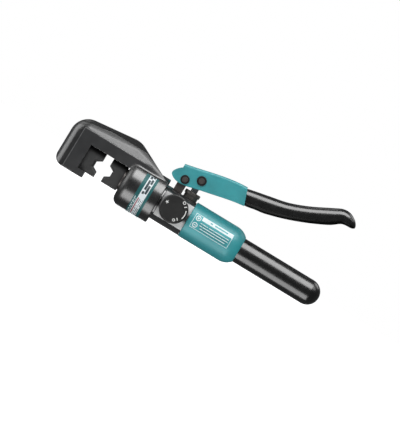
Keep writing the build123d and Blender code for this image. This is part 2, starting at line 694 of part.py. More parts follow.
PARTS = {
    "crimp_head": crimp_head,
    "head_label_band": head_label_band,
    "fixed_die": fixed_die,
    "fixed_die_screw": fixed_die_screw,
    "moving_die": moving_die,
    "die_holder": die_holder,
    "ram": ram,
    "piston_seal": piston_seal,
    "return_spring": return_spring,
    "pump_body": pump_body,
    "swivel_ring": swivel_ring,
    "swivel_oring": swivel_oring,
    "suction_ball": suction_ball,
    "suction_spring": suction_spring,
    "suction_seat": suction_seat,
    "delivery_ball": delivery_ball,
    "delivery_spring": delivery_spring,
    "delivery_screw": delivery_screw,
    "relief_ball": relief_ball,
    "relief_spring": relief_spring,
    "relief_screw": relief_screw,
    "spindle_bush": spindle_bush,
    "release_spindle": release_spindle,
    "spindle_oring": spindle_oring,
    "valve_knob": valve_knob,
    "knob_screw": knob_screw,
    "fulcrum_post": fulcrum_post,
    "post_pin": post_pin,
    "fulcrum_pin": lambda: pin_with_ends(PIN_A_X, PIN_A_Z),
    "fulcrum_pin_clips": lambda: pin_clips(PIN_A_X, PIN_A_Z, 4.6),
    "plunger_pin": lambda: pin_with_ends(PIN_B_X, PIN_B_Z),
    "plunger_pin_clips": lambda: pin_clips(PIN_B_X, PIN_B_Z, 5.0),
    "lever_fork": lever_fork,
    "lever_arm": lever_arm,
    "lever_grip": lever_grip,
    "plunger": plunger,
    "packing_gland": packing_gland,
    "gland_packing": gland_packing,
    "sleeve": sleeve,
    "sleeve_label": sleeve_label,
    "reservoir_tube": reservoir_tube,
    "reservoir_plug": reservoir_plug,
    "plug_oring": plug_oring,
    "oil_bladder": oil_bladder,
    "bladder_clamp": bladder_clamp,
    "handle_cover": handle_cover,
}

os.makedirs("parts", exist_ok=True)
for node, build in PARTS.items():
    export_step(build(), f"parts/{node}.step")
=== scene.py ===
import json
import math

import bmesh
import bpy
from mathutils import Matrix, Vector


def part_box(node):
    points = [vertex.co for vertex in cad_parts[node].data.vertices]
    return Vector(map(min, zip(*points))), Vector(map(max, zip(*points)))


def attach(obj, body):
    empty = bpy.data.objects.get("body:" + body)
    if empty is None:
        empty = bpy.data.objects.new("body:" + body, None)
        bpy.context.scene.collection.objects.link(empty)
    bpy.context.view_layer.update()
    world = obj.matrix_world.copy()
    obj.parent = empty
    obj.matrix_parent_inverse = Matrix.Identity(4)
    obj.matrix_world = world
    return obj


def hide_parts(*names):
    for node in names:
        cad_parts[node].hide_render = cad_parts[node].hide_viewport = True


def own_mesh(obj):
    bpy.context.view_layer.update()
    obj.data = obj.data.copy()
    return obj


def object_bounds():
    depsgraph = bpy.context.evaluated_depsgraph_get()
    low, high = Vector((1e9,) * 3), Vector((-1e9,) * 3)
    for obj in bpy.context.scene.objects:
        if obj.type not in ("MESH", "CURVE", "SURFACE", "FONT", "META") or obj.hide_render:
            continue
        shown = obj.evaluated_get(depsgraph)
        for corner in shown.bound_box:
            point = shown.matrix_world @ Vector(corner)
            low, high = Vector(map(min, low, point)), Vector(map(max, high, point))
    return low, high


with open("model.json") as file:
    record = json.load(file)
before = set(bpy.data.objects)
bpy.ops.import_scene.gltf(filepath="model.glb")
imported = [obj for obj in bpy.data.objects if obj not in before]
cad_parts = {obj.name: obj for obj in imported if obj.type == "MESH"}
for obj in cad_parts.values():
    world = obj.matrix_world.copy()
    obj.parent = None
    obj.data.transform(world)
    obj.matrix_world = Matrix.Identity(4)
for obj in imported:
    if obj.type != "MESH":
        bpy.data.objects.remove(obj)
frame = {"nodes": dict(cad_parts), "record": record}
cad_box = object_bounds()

MM = 0.001
WELD_DISTANCE = 0.02 * MM
THROAT_GAP = 0.25 * MM             # between the dies and the roof of the head's throat
STRIP_WIDTH = 6 * MM
MARK_PROUD = 0.12 * MM             # thickness of the knob's printed marks above its face
MARK_SUNK = 0.05 * MM
ROLL = math.radians(31.3)          # the tool hangs down to the right in the picture
PICTURE_HEIGHT = 0.424             # metres of the tool's plane that the picture's long side spans
LENS = 200.0
SENSOR = 36.0
AIM = Vector((0.1095, 0.0, 0.0123))
CAMERA_REACH = 20.0
FLOOR_RADIUS = 6.0
FLOOR_DROP = 0.6 * MM              # below the lowest point of the tool

# where the head's surfaces lie, for its paint
BARREL_FRONT = 27.8 * MM
BARREL_RADIUS = 24.9 * MM
BAND_RADIUS = 24.8 * MM
CREASE_X = -31.5 * MM              # the side faces bevel towards the front from here
CREASE_Z = 25.2 * MM               # and towards the top from here
LINE_HALF = 0.3 * MM               # half width of the painted highlight line along a crease

TEAL = (0.030, 0.320, 0.350)
BAND_TEAL = (0.005, 0.105, 0.108)


# ---------------------------------------------------------------- node graph helper
class Graph:
    """A material's node tree, with short calls for the nodes used here. Lengths are in metres."""

    def __init__(self, name):
        self.material = bpy.data.materials.new(name)
        self.material.use_nodes = True
        self.tree = self.material.node_tree
        self.tree.nodes.clear()
        self.position = self.add("ShaderNodeTexCoord").outputs["Object"]
        split = self.add("ShaderNodeSeparateXYZ", {0: self.position})
        self.x, self.y, self.z = split.outputs

    def add(self, kind, inputs=None, **settings):
        node = self.tree.nodes.new(kind)
        for key, value in settings.items():
            setattr(node, key, value)
        for key, value in (inputs or {}).items():
            if isinstance(value, bpy.types.NodeSocket):
                self.tree.links.new(value, node.inputs[key])
            else:
                node.inputs[key].default_value = value
        return node

    def math(self, operation, a, b=0.0, clamp=False):
        node = self.add("ShaderNodeMath", {0: a, 1: b}, operation=operation, use_clamp=clamp)
        return node.outputs[0]

    def times(self, a, b, clamp=False):
        return self.math("MULTIPLY", a, b, clamp)

    def plus(self, a, b, clamp=False):
        return self.math("ADD", a, b, clamp)

    def minus(self, a, b, clamp=False):
        return self.math("SUBTRACT", a, b, clamp)

    def noise(self, size_mm, detail=3.0, stretch=(1, 1, 1), roughness=0.55):
        """Noise with features about size_mm across, longer along an axis with a small stretch."""
        mapping = self.add("ShaderNodeMapping", {"Vector": self.position, "Scale": stretch})
        return self.add("ShaderNodeTexNoise", {
            "Vector": mapping.outputs[0], "Scale": 1 / (size_mm * MM), "Detail": detail,
            "Roughness": roughness,
        }).outputs[0]

    def remap(self, value, from_low, from_high, to_low, to_high):
        return self.add("ShaderNodeMapRange", {
            "Value": value, "From Min": from_low, "From Max": from_high,
            "To Min": to_low, "To Max": to_high,
        }).outputs[0]

    def mix(self, factor, a, b):
        node = self.add("ShaderNodeMix", data_type="RGBA")
        for index, value in ((0, factor), (6, a), (7, b)):
            if isinstance(value, bpy.types.NodeSocket):
                self.tree.links.new(value, node.inputs[index])
            elif index == 0:
                node.inputs[0].default_value = value
            else:
                node.inputs[index].default_value = (*value, 1.0)
        return node.outputs[2]

    def inside(self, value, lower, upper):
        """1 where value lies between the two limits."""
        above = self.math("GREATER_THAN", value, lower)
        below = self.math("LESS_THAN", value, upper)
        return self.times(above, below)

    def any_of(self, masks):
        total = masks[0]
        for mask in masks[1:]:
            total = self.math("MAXIMUM", total, mask)
        return total

    def edge_wear(self, radius_mm, amount):
        """Mask along sharp edges, broken up by noise."""
        soft = self.add("ShaderNodeBevel", {"Radius": radius_mm * MM}, samples=6).outputs[0]
        hard = self.add("ShaderNodeNewGeometry").outputs["Normal"]
        dot = self.add("ShaderNodeVectorMath", {0: soft, 1: hard}, operation="DOT_PRODUCT")
        mask = self.remap(dot.outputs["Value"], 0.995, 0.90, 0.0, 1.0)
        broken = self.remap(self.noise(2.2, 4.0), 0.42, 0.62, 0.0, amount)
        return self.times(mask, broken, clamp=True)

    def bump(self, height, depth_mm):
        return self.add("ShaderNodeBump", {"Height": height, "Distance": depth_mm * MM}).outputs[0]

    def finish(self, **inputs):
        shader = self.add("ShaderNodeBsdfPrincipled", {
            key.replace("_", " "): ((*value, 1.0) if isinstance(value, tuple) else value)
            for key, value in inputs.items()
        })
        out = self.add("ShaderNodeOutputMaterial")
        self.tree.links.new(shader.outputs[0], out.inputs["Surface"])
        return self.material


# ---------------------------------------------------------------- materials
def toned(color, factor, added=0.0):
    """The colour made darker or lighter."""
    return tuple(min(1.0, c * factor + added) for c in color)


def paint(name, color, worn, roughness, coat, grain_mm, grain_depth_mm, wear, ior):
    """Sprayed paint: slight unevenness in tone, fine grain, handling smudges and thin edges."""
    g = Graph(name)
    tone = g.remap(g.noise(28, 3), 0.3, 0.7, 0.0, 1.0)
    base = g.mix(tone, toned(color, 0.86), toned(color, 1.12))
    base = g.mix(g.edge_wear(0.5, wear), base, worn)
    smudge = g.remap(g.noise(9, 5), 0.35, 0.75, -0.04, 0.09)
    rough = g.plus(smudge, roughness, clamp=True)
    normal = g.bump(g.noise(grain_mm, 2), grain_depth_mm)
    return g.finish(
        Base_Color=base, Roughness=rough, Normal=normal, IOR=ior,
        Coat_Weight=coat, Coat_Roughness=max(0.04, roughness * 0.45), Coat_IOR=ior,
    )


def metal(
    name, color, roughness, stretch=(1, 1, 1), line_mm=0.5, line_depth_mm=0.006, metallic=1.0,
):
    """Machined or drawn metal: fine tool marks, tarnish and smears."""
    g = Graph(name)
    tarnish = g.remap(g.noise(6, 5), 0.35, 0.7, 0.0, 1.0)
    base = g.mix(tarnish, toned(color, 0.8), toned(color, 1.1))
    base = g.mix(g.edge_wear(0.3, 0.4), base, toned(color, 1.8, 0.02))
    lines = g.noise(line_mm, 2, stretch)
    rough = g.plus(g.remap(lines, 0.3, 0.7, -0.05, 0.08), roughness, clamp=True)
    return g.finish(
        Base_Color=base, Metallic=metallic, Roughness=rough, Normal=g.bump(lines, line_depth_mm),
    )


def oxide(name, color):
    """Black-oxide tool steel: ground marks, painted shade in the corners and across the top, and
    bright worn edges.
    """
    g = Graph(name)
    lines = g.noise(0.4, 2, (1, 0.1, 1))
    base = g.mix(g.remap(g.noise(5, 4), 0.3, 0.7, 0.0, 1.0), toned(color, 0.8), color)
    # painted shade: darker where nearby walls close in
    open_sky = g.add("ShaderNodeAmbientOcclusion", {"Distance": 7 * MM}, samples=8).outputs["AO"]
    base = g.mix(g.remap(open_sky, 0.45, 0.80, 0.0, 1.0), (0.003, 0.003, 0.003), base)
    # painted shadow of the throat's roof across the top of the dies
    base = g.mix(g.remap(g.z, 6.5 * MM, 9.5 * MM, 0.0, 0.93), base, (0.002, 0.002, 0.002))
    wear = g.times(g.edge_wear(0.35, 0.8), g.math("LESS_THAN", g.z, 9 * MM))
    base = g.mix(wear, base, (0.22, 0.22, 0.21))
    rough = g.plus(g.remap(lines, 0.3, 0.7, -0.05, 0.08), 0.45, clamp=True)
    # no reflection inside that painted shadow
    dull = g.remap(g.z, 8.5 * MM, 11.5 * MM, 0.0, 1.0)
    return g.finish(
        Base_Color=base, Metallic=g.remap(dull, 0, 1, 0.3, 0.0), IOR=g.remap(dull, 0, 1, 1.5, 1.01),
        Roughness=rough, Normal=g.bump(lines, 0.008),
    )


def moulded(
    name, color, roughness, grain_mm, grain_depth_mm, coat=0.0, coat_roughness=0.1, rub_and_sheen=0.0,
):
    """Moulded plastic or rubber with a fine skin and dull patches.

    rubbed, from 0 to 1, takes the shine off the underside, where fingers go.
    """
    g = Graph(name)
    tone = g.remap(g.noise(16, 4), 0.3, 0.7, 0.0, 1.0)
    base = g.mix(tone, toned(color, 0.75), toned(color, 1.25))
    rough = g.plus(g.remap(g.noise(7, 5), 0.35, 0.75, -0.03, 0.08), roughness, clamp=True)
    height = g.noise(grain_mm, 3)
    normal = g.add("ShaderNodeTexCoord").outputs["Normal"]
    facing_up = g.add("ShaderNodeSeparateXYZ", {0: normal}).outputs[2]
    shine = g.remap(facing_up, -0.35, -0.10, 1.0 - rub_and_sheen, 1.0)
    return g.finish(
        Base_Color=base, Roughness=rough, Normal=g.bump(height, grain_depth_mm),
        IOR=g.remap(shine, 0.0, 1.0, 1.01, 1.5),
        Coat_Weight=g.times(shine, coat), Coat_Roughness=coat_roughness,
    )


def print_rows(g, across, along, rows, half_height, cell_mm, fill):
    """Rows of short dashes that stand for small print; each row is (position, start, end) in mm."""
    cell = g.math("FLOOR", g.math("DIVIDE", along, cell_mm * MM))
    masks = []
    for index, (position, start, end) in enumerate(rows):
        seed = g.plus(cell, 17.3 * (index + 1))  # so that no two rows have the same dashes
        chance = g.add("ShaderNodeTexWhiteNoise", {"W": seed}, noise_dimensions="1D")
        dash = g.math("LESS_THAN", chance.outputs["Value"], fill)
        row = g.inside(across, (position - half_height) * MM, (position + half_height) * MM)
        span = g.inside(along, start * MM, end * MM)
        masks.append(g.times(g.times(row, span), dash))
    return g.any_of(masks)


def rectangle(g, across, along, a0, a1, b0, b1):
    """Mask from a0 to a1 across and from b0 to b1 along, in millimetres."""
    return g.times(g.inside(across, a0 * MM, a1 * MM), g.inside(along, b0 * MM, b1 * MM))


def ring(g, u, v, centre_u, centre_v, radius, half_width):
    """Circle line round a centre, all in millimetres."""
    du = g.minus(u, centre_u * MM)
    dv = g.minus(v, centre_v * MM)
    distance = g.math("SQRT", g.plus(g.times(du, du), g.times(dv, dv)))
    return g.inside(distance, (radius - half_width) * MM, (radius + half_width) * MM)


def band_print(name, teal):
    """Barrel band: white stripe between teal borders, with generic blocks and lines round it."""
    g = Graph(name)
    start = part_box("head_label_band")[0].x / MM
    along_x = g.minus(g.x, start * MM)
    angle = g.math("ARCTAN2", g.times(g.y, -1.0), g.z)
    arc = g.times(angle, BAND_RADIUS)
    white = (0.80, 0.86, 0.88)
    ink = (0.03, 0.05, 0.06)
    in_white = g.inside(along_x, 4.0 * MM, 11.0 * MM)
    base = g.mix(in_white, teal, white)
    blocks = print_rows(g, along_x, arc, [(6.3, 19, 41), (9.0, 17, 41)],
                        half_height=1.15, cell_mm=1.9, fill=0.66)
    small_rows = [(position, 46, 74) for position in (5.3, 7.0, 8.7, 10.2)]
    lines = print_rows(g, along_x, arc, small_rows, half_height=0.32, cell_mm=0.9, fill=0.7)
    border = print_rows(g, along_x, arc, [(1.6, 46, 74), (2.9, 46, 74)],
                        half_height=0.35, cell_mm=0.8, fill=0.7)
    base = g.mix(g.any_of([blocks, lines]), base, ink)
    base = g.mix(rectangle(g, along_x, arc, 4.6, 5.9, 46, 70), base, (0.35, 0.10, 0.12))
    base = g.mix(border, base, (0.72, 0.80, 0.82))
    scuff = g.remap(g.noise(1.5, 4), 0.62, 0.75, 0.0, 0.35)
    base = g.mix(scuff, base, teal)
    rough = g.remap(g.noise(5, 4), 0.3, 0.7, 0.38, 0.52)
    normal = g.bump(g.noise(0.6, 2), 0.004)
    return g.finish(Base_Color=base, Roughness=rough, Normal=normal, IOR=1.33)


def sleeve_print_film(name, teal):
    """Sleeve label: white title bar, rows of dashes and two round symbols on a teal film."""
    g = Graph(name)
    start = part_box("sleeve_label")[0].x / MM
    u = g.minus(g.x, start * MM)
    white = (0.78, 0.86, 0.87)
    base = g.mix(g.remap(g.noise(20, 3), 0.3, 0.7, 0.0, 1.0), teal, toned(teal, 1.15, 0.02))
    bar = rectangle(g, g.z, u, 5.9, 10.1, 9.0, 43.8)
    frame_line = g.any_of([
        rectangle(g, g.z, u, 9.7, 10.1, 1.0, 44.2), rectangle(g, g.z, u, -5.2, -4.8, 1.0, 44.2),
        rectangle(g, g.z, u, -5.2, 10.1, 1.0, 1.4), rectangle(g, g.z, u, -5.2, 10.1, 43.8, 44.2),
    ])
    rows = [(3.1 - 2.6 * i, 9.5, end) for i, end in enumerate((42, 42.5, 40))]
    text = print_rows(g, g.z, u, rows, half_height=0.36, cell_mm=0.6, fill=0.9)
    gap_rows = [(row[0] - 1.3, 9.5, 42.5) for row in rows]
    gaps = print_rows(g, g.z, u, gap_rows, half_height=0.45, cell_mm=0.6, fill=0.9)
    base = g.mix(gaps, base, toned(teal, 0.55))
    symbols = g.any_of([
        ring(g, u, g.z, 5.2, 6.2, 2.3, 0.42), ring(g, u, g.z, 5.2, 6.2, 0.5, 0.5),
        ring(g, u, g.z, 5.2, -1.2, 2.3, 0.42), rectangle(g, g.z, u, -1.6, -0.8, 4.0, 6.4),
    ])
    base = g.mix(g.any_of([bar, frame_line, text, symbols]), base, white)
    title_rows = [(8.2, 18, 20.5), (8.2, 23, 38)]
    title = print_rows(g, g.z, u, title_rows, half_height=0.6, cell_mm=0.9, fill=0.75)
    base = g.mix(title, base, toned(teal, 1.1))
    rough = g.remap(g.noise(6, 4), 0.3, 0.7, 0.34, 0.48)
    normal = g.bump(g.noise(0.6, 2), 0.006)
    return g.finish(Base_Color=base, Roughness=rough, Normal=normal, IOR=1.45)


def floor_finish():
    """Pale seamless studio floor that stays near white, with a trace of the tool's shadow."""
    g = Graph("studio_floor")
    tone = g.remap(g.noise(180, 3), 0.3, 0.7, 0.0, 1.0)
    grey = g.mix(tone, (0.80, 0.80, 0.80), (0.84, 0.84, 0.84))
    diffuse = g.add("ShaderNodeBsdfDiffuse", {"Color": grey})
    glow = g.add("ShaderNodeEmission", {"Color": (1, 1, 1, 1), "Strength": 0.72})
    both = g.add("ShaderNodeAddShader", {0: diffuse.outputs[0], 1: glow.outputs[0]})
    out = g.add("ShaderNodeOutputMaterial")
    g.tree.links.new(both.outputs[0], out.inputs["Surface"])
    return g.material


def head_paint(name):
    """Black paint on the forged head: satin with soft rims on the C, glossier on the barrel, with
    painted shade and highlights on the C's bevels and top.
    """
    g = Graph(name)
    radius = g.math("SQRT", g.plus(g.times(g.y, g.y), g.times(g.z, g.z)))
    behind_front = g.math("GREATER_THAN", g.x, BARREL_FRONT)
    barrel = g.times(behind_front, g.math("LESS_THAN", radius, BARREL_RADIUS))
    tone = g.remap(g.noise(30, 3), 0.3, 0.7, 0.0, 1.0)
    satin = g.mix(tone, (0.026, 0.026, 0.027), (0.037, 0.037, 0.038))
    gloss = g.mix(tone, (0.007, 0.007, 0.007), (0.012, 0.012, 0.012))
    base = g.mix(barrel, satin, gloss)

    # painted shade as a dark strip on the front bevel, and painted highlight lines along each
    # crease
    side = g.math("GREATER_THAN", g.math("ABSOLUTE", g.y), 12.2 * MM)
    front_bevel_shade = g.inside(g.x, CREASE_X - 5 * MM, CREASE_X - LINE_HALF)
    front_bevel_shade = g.times(front_bevel_shade, g.math("LESS_THAN", g.z, CREASE_Z + 1 * MM))
    base = g.mix(g.times(front_bevel_shade, 0.7), base, (0.010, 0.010, 0.010))
    front_line = g.inside(g.x, CREASE_X - LINE_HALF, CREASE_X + LINE_HALF)
    front_line = g.times(front_line, g.math("LESS_THAN", g.z, CREASE_Z + 0.2 * MM))
    top_line = g.inside(g.z, CREASE_Z - LINE_HALF, CREASE_Z + 0.4 * MM)
    top_line = g.times(top_line, g.inside(g.x, CREASE_X, 45 * MM))
    crease_highlight = g.times(g.math("MAXIMUM", front_line, top_line), side)
    # painted highlight along each crease, made patchy with noise
    rub_and_sheen = g.remap(g.noise(3, 3), 0.3, 0.6, 0.3, 0.9)
    base = g.mix(g.times(crease_highlight, rub_and_sheen), base, (0.17, 0.17, 0.17))

    # edges worn everywhere but round the throat, and a duller rim on the barrel
    throat = g.inside(g.x, -21 * MM, BARREL_FRONT - 1 * MM)
    throat = g.times(throat, g.math("LESS_THAN", g.z, 19 * MM))
    open_edge = g.minus(1.0, throat)
    base = g.mix(g.times(g.edge_wear(0.5, 0.5), open_edge), base, (0.16, 0.16, 0.165))
    smudge = g.remap(g.noise(8, 5), 0.35, 0.75, -0.03, 0.08)
    front_rim = g.times(barrel, g.remap(g.x, 32 * MM, 35 * MM, 1.0, 0.0))
    rough = g.plus(smudge, g.remap(barrel, 0, 1, 0.31, 0.27))
    rough = g.plus(rough, g.times(front_rim, 0.16), clamp=True)

    # soft edges, and a top that reads as rounded above two slanting lines, also darkened there with
    # painted shade
    soft = g.add("ShaderNodeBevel", {"Radius": 2.6 * MM}, samples=8).outputs[0]
    hard = g.add("ShaderNodeNewGeometry").outputs["Normal"]
    blend = g.add("ShaderNodeMix", {0: open_edge, 4: hard, 5: soft}, data_type="VECTOR").outputs[1]
    rising = g.plus(g.times(g.x, 0.10), 31.0 * MM)
    falling = g.plus(g.times(g.x, -0.27), 40.4 * MM)
    above = g.minus(g.z, g.math("MINIMUM", rising, falling))
    lift = g.remap(above, -2.0 * MM, 3.5 * MM, 0.0, 1.1)
    upward = g.add(
        "ShaderNodeVectorTransform", {0: g.add("ShaderNodeCombineXYZ", {2: lift}).outputs[0]},
        vector_type="VECTOR", convert_from="OBJECT", convert_to="WORLD",
    ).outputs[0]
    tilted = g.add("ShaderNodeVectorMath", {0: blend, 1: upward}, operation="ADD").outputs[0]
    round_top = g.add("ShaderNodeVectorMath", {0: tilted}, operation="NORMALIZE").outputs[0]
    # painted shade: the top grows darker where its normals are lifted
    base = g.mix(g.remap(lift, 0.2, 1.0, 0.0, 0.7), base, (0.010, 0.010, 0.010))
    normal = g.add("ShaderNodeBump", {
        "Height": g.noise(1.6, 2), "Distance": 0.002 * MM, "Normal": round_top,
    }).outputs[0]
    return g.finish(
        Base_Color=base, Roughness=rough, Normal=normal, IOR=g.remap(barrel, 0, 1, 1.46, 1.66),
        Coat_Weight=g.minus(g.remap(barrel, 0, 1, 0.3, 0.5), front_rim, clamp=True),
        Coat_Roughness=0.24, Coat_IOR=1.6,
    )


def block_paint(name):
    """Black gloss paint, with the milled flat behind the knob left as bare, streaked metal, and a
    painted dark reflection band along the middle of the flat.
    """
    g = Graph(name)
    normal = g.add("ShaderNodeNewGeometry").outputs["Normal"]
    facing = g.add("ShaderNodeSeparateXYZ", {0: normal}).outputs[1]
    bare = g.times(g.math("LESS_THAN", facing, -0.98), g.inside(g.x, 68.5 * MM, 200 * MM))
    bare = g.times(bare, g.math("LESS_THAN", g.y, -12.5 * MM))
    paint_tone = g.mix(g.noise(20, 3), (0.020, 0.020, 0.021), (0.036, 0.036, 0.037))
    paint_tone = g.mix(g.edge_wear(0.4, 0.6), paint_tone, (0.2, 0.2, 0.2))
    streaks = g.noise(0.7, 3, (0.06, 1, 1))
    metal_tone = g.mix(streaks, (0.66, 0.66, 0.67), (0.97, 0.96, 0.94))
    # painted reflection: a dark band along the middle of the bare flat
    middle = g.math("ABSOLUTE", g.plus(g.z, 0.5 * MM))
    shade = g.remap(middle, 2.8 * MM, 5.8 * MM, 0.93, 0.0)
    metal_tone = g.mix(shade, metal_tone, (0.020, 0.020, 0.020))
    base = g.mix(bare, paint_tone, metal_tone)
    rough = g.add("ShaderNodeMix", {0: bare, 2: 0.24, 3: 0.42}, data_type="FLOAT").outputs[0]
    grain = g.times(streaks, bare)
    return g.finish(
        Base_Color=base, Roughness=rough, Metallic=g.times(bare, 0.1), IOR=1.6,
        Normal=g.bump(g.plus(grain, g.times(g.noise(0.7, 2), 0.4)), 0.01),
        Coat_Weight=g.minus(0.8, bare, clamp=True), Coat_Roughness=0.1, Coat_IOR=1.6,
    )


def mark_paint():
    """White print, partly rubbed off."""
    g = Graph("knob_mark_paint")
    worn = g.remap(g.noise(0.8, 4), 0.5, 0.72, 0.0, 0.5)
    base = g.mix(worn, (0.80, 0.80, 0.78), (0.20, 0.20, 0.19))
    return g.finish(Base_Color=base, Roughness=0.45, Normal=g.bump(g.noise(0.3, 2), 0.01))


# width of the round on hard edges, in mm
ROUNDED_NODES = {
    "fixed_die": 0.35, "moving_die": 0.35, "fulcrum_post": 0.5, "lever_fork": 0.8,
    "packing_gland": 0.25, "valve_knob": 0.25, "fulcrum_pin_clips": 0.3, "plunger_pin_clips": 0.3,
}
# nodes that look different from the rest of their slot
OWN_FINISH = {
    "fulcrum_pin_clips": "clip_black", "plunger_pin_clips": "clip_black",
    "packing_gland": "worn_steel",
}
GRIP = {
    "color": (0.003, 0.003, 0.003), "roughness": 0.27, "grain_mm": 3.0, "grain_depth_mm": 0.0008,
    "coat": 0.7, "coat_roughness": 0.19,
}
MATERIALS = {
    "head_black": head_paint("head_black"),
    "block_black": block_paint("block_black"),
    "teal": paint(
        "teal", TEAL, worn=(0.16, 0.46, 0.48), roughness=0.40, coat=0.12,
        grain_mm=0.8, grain_depth_mm=0.008, wear=0.35, ior=1.41,
    ),
    "die_black": oxide("die_black", (0.043, 0.043, 0.043)),
    "steel": metal("steel", (0.46, 0.46, 0.47), roughness=0.30, stretch=(1, 1, 0.15)),
    "spring_steel": metal("spring_steel", (0.34, 0.34, 0.35), roughness=0.34, line_mm=0.3),
    "dark_steel": metal(
        "dark_steel", (0.082, 0.073, 0.068), roughness=0.38, stretch=(1, 1, 0.3),
        line_mm=0.4, line_depth_mm=0.01, metallic=0.4,
    ),
    "worn_steel": metal(
        "worn_steel", (0.105, 0.098, 0.090), roughness=0.34, stretch=(1, 1, 0.3),
        line_mm=0.4, line_depth_mm=0.01, metallic=0.55,
    ),
    "clip_black": metal(
        "clip_black", (0.012, 0.012, 0.012), roughness=0.40,
        line_mm=0.4, line_depth_mm=0.008, metallic=0.3,
    ),
    "knob_black": moulded(
        "knob_black", (0.010, 0.010, 0.0097), roughness=0.42, grain_mm=0.35, grain_depth_mm=0.025,
    ),
    "grip_black": moulded("grip_black", **GRIP),
    "lever_black": moulded("lever_black", rub_and_sheen=0.85, **GRIP),
    "rubber": moulded(
        "rubber", (0.018, 0.018, 0.018), roughness=0.62, grain_mm=0.3, grain_depth_mm=0.02,
    ),
    "label": band_print("label", BAND_TEAL),
    "sleeve_print": sleeve_print_film("sleeve_print", TEAL),
    "knob_mark": mark_paint(),
}


def dress_cad_nodes():
    """Every CAD node gets the material of its slot or its own finish."""
    for part in frame["record"]["subparts"]:
        node = frame["nodes"][part["node"]]
        node.data.materials.clear()
        node.data.materials.append(MATERIALS[OWN_FINISH.get(part["node"], part["material_slot"])])


# ---------------------------------------------------------------- mesh pieces
def mesh_object(name, bm, material, body):
    mesh = bpy.data.meshes.new(name)
    bmesh.ops.recalc_face_normals(bm, faces=bm.faces)
    bm.to_mesh(mesh)
    bm.free()
    piece = bpy.data.objects.new(name, mesh)
    bpy.context.scene.collection.objects.link(piece)
    mesh.materials.append(material)
    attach(piece, body)
    return piece


def shape_modifiers():
    """Small rounds on hard CAD edges, which catch the light as on the real pieces."""
    for name in ROUNDED_NODES:
        node = frame["nodes"][name]
        weld = node.modifiers.new("weld", "WELD")
        weld.merge_threshold = WELD_DISTANCE
        bevel = node.modifiers.new("edge_round", "BEVEL")
        bevel.width = ROUNDED_NODES[name] * MM
        bevel.segments = 2
        bevel.limit_method = "ANGLE"
        bevel.angle_limit = math.radians(40)
        bevel.harden_normals = True


def spline_point(points, t):
    """Point on a smooth curve through tuples of numbers; t runs from 0 to the last index."""
    i = min(int(t), len(points) - 2)
    f = t - i
    before = points[max(i - 1, 0)]
    after = points[min(i + 2, len(points) - 1)]
    result = []
    for p0, p1, p2, p3 in zip(before, points[i], points[i + 1], after):
        a = 2 * p1
        b = p2 - p0
        c = 2 * p0 - 5 * p1 + 4 * p2 - p3
        d = 3 * p1 - p0 - 3 * p2 + p3
        result.append(0.5 * (a + b * f + c * f * f + d * f * f * f))
    return result


def grip_cover():
    """Rounded cover of the lever, lofted through oval sections, in place of the CAD grip."""
    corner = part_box("lever_grip")[0]
    # each row: upper point (x, z), lower point (x, z) and half width, in mm from the box's corner
    sections = [
        (-3.0, 15.6, 3.6, 0.4, 8.6), (2.0, 17.0, 8.4, 0.6, 9.0),
        (11.0, 19.0, 17.0, 2.3, 9.4), (22.3, 21.4, 28.0, 4.1, 9.8),
        (42.3, 25.9, 48.3, 10.2, 9.6), (62.3, 33.8, 69.3, 18.5, 9.4),
        (82.3, 44.1, 88.3, 27.8, 9.4),
        (92.3, 48.9, 97.3, 34.4, 9.2), (100.5, 49.2, 102.6, 36.0, 8.8),
        (107.2, 45.9, 107.0, 36.2, 7.6), (110.8, 42.2, 109.6, 36.6, 5.4),
        (112.0, 39.6, 111.2, 37.4, 2.6), (112.1, 38.4, 112.1, 38.3, 0.4),
    ]
    rings, around = 66, 40
    bm = bmesh.new()
    loops = []
    for i in range(rings):
        ux, uz, lx, lz, half = spline_point(sections, (len(sections) - 1) * i / (rings - 1))
        loop = []
        for j in range(around):
            angle = 2 * math.pi * j / around
            c, s = math.cos(angle), math.sin(angle)
            # powers below 1 make the lower half squarer than the upper one
            across = math.copysign(abs(c) ** (0.94 if s > 0 else 0.45), c)
            along = math.copysign(abs(s) ** (0.97 if s > 0 else 0.68), s)
            x = (ux + lx) / 2 + (ux - lx) / 2 * along
            z = (uz + lz) / 2 + (uz - lz) / 2 * along
            loop.append(bm.verts.new((corner.x + x * MM, half * across * MM, corner.z + z * MM)))
        loops.append(loop)
    for first, second in zip(loops, loops[1:]):
        for j in range(around):
            k = (j + 1) % around
            bm.faces.new((first[j], first[k], second[k], second[j]))
    bm.faces.new(loops[0])
    bm.faces.new(loops[-1])
    for face in bm.faces:
        face.smooth = len(face.verts) == 4
    cover = mesh_object("grip_cover", bm, MATERIALS["lever_black"], "lever")
    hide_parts("lever_grip")


def throat_shade_strip():
    """Thin dark strip under the roof of the throat, standing in for the shade there, which hides
    the sliding gap above the dies.
    """
    die_low, die_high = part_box("fixed_die")
    rear_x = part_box("moving_die")[1].x
    bm = bmesh.new()
    bmesh.ops.create_cube(bm, size=1.0)
    for vertex in bm.verts:
        x = die_low.x if vertex.co.x < 0 else rear_x
        z = die_high.z + THROAT_GAP * (0.15 if vertex.co.z < 0 else 0.95)
        vertex.co = (x, vertex.co.y * STRIP_WIDTH, z)
    mesh_object("throat_shade_strip", bm, MATERIALS["rubber"], "head")


def spring_coil():
    """Copy of the CAD's return spring, riding on the head in place of the CAD node."""
    node = frame["nodes"]["return_spring"]
    piece = bpy.data.objects.new("spring_coil", node.data.copy())
    piece.matrix_world = node.matrix_world
    bpy.context.scene.collection.objects.link(piece)
    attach(piece, "head")
    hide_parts("return_spring")
    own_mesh(piece)


